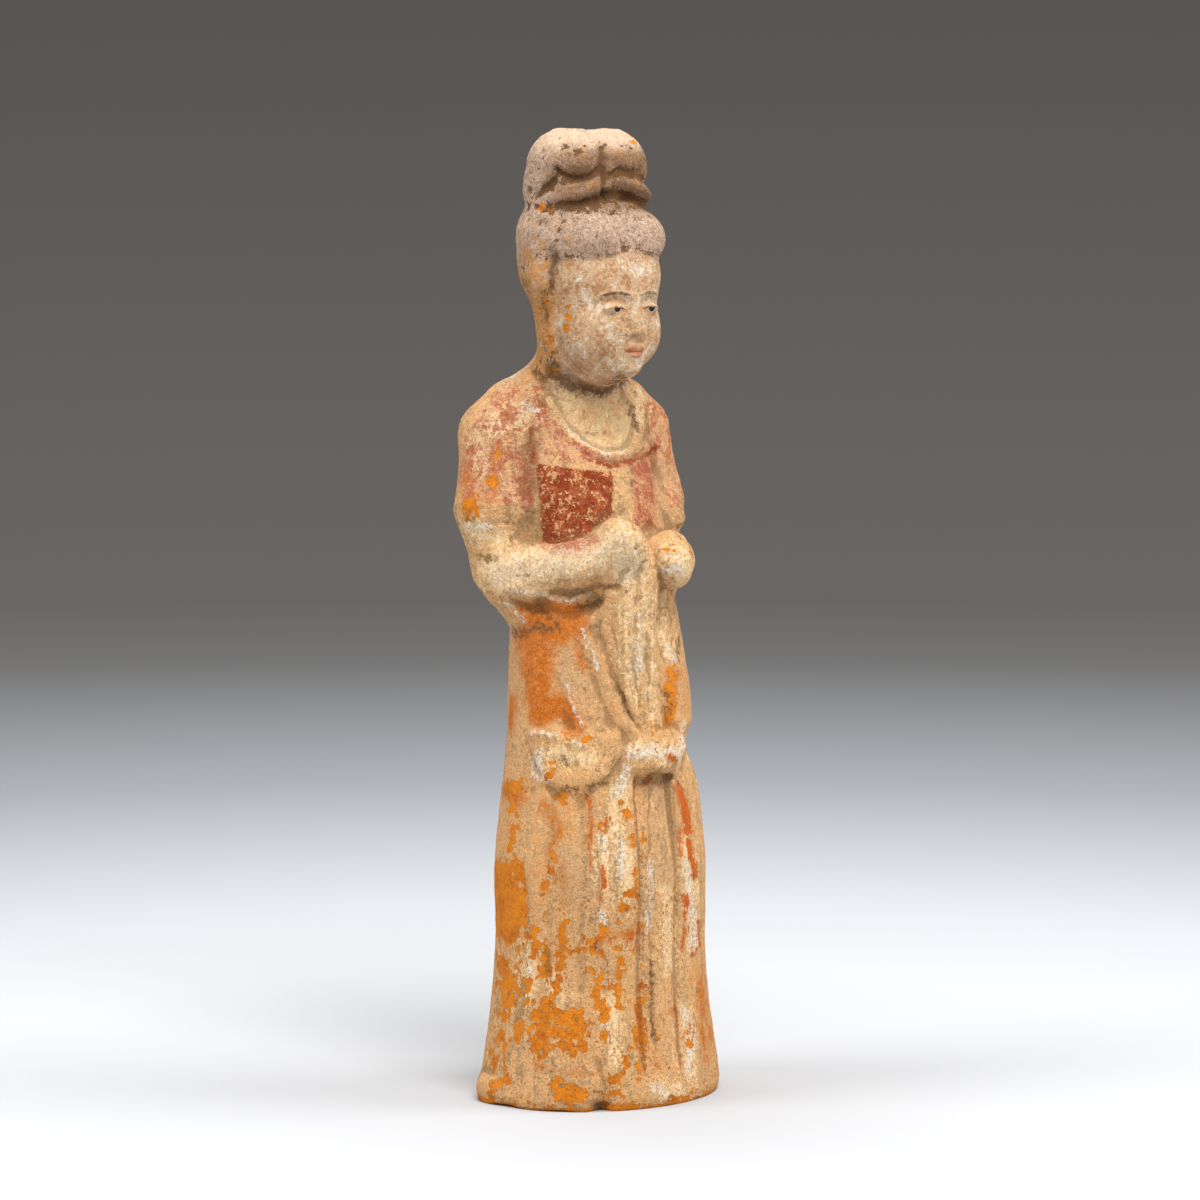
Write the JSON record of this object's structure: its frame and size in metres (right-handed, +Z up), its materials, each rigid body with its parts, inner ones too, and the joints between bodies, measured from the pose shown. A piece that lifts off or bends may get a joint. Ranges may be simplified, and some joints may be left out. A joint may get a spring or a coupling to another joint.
{
  "type": "court lady figure",
  "caption": "Moulded terracotta figure of a standing court lady with a two-lobed topknot, in a long flared gown, her raised hands holding a hanging cloth, with worn slip and pigment.",
  "frame": {"origin": "middle of the underside, on the surface she stands on", "axes": "+Z up to the topknot, she faces -Y, and her left side is +X"},
  "size_m": [0.0733, 0.0574, 0.2598],
  "materials": {
    "terracotta": "matt fired clay under worn slip and pigment"
  },
  "bodies": {
    "root": {"court_lady": "terracotta"}
  },
  "joints": []
}
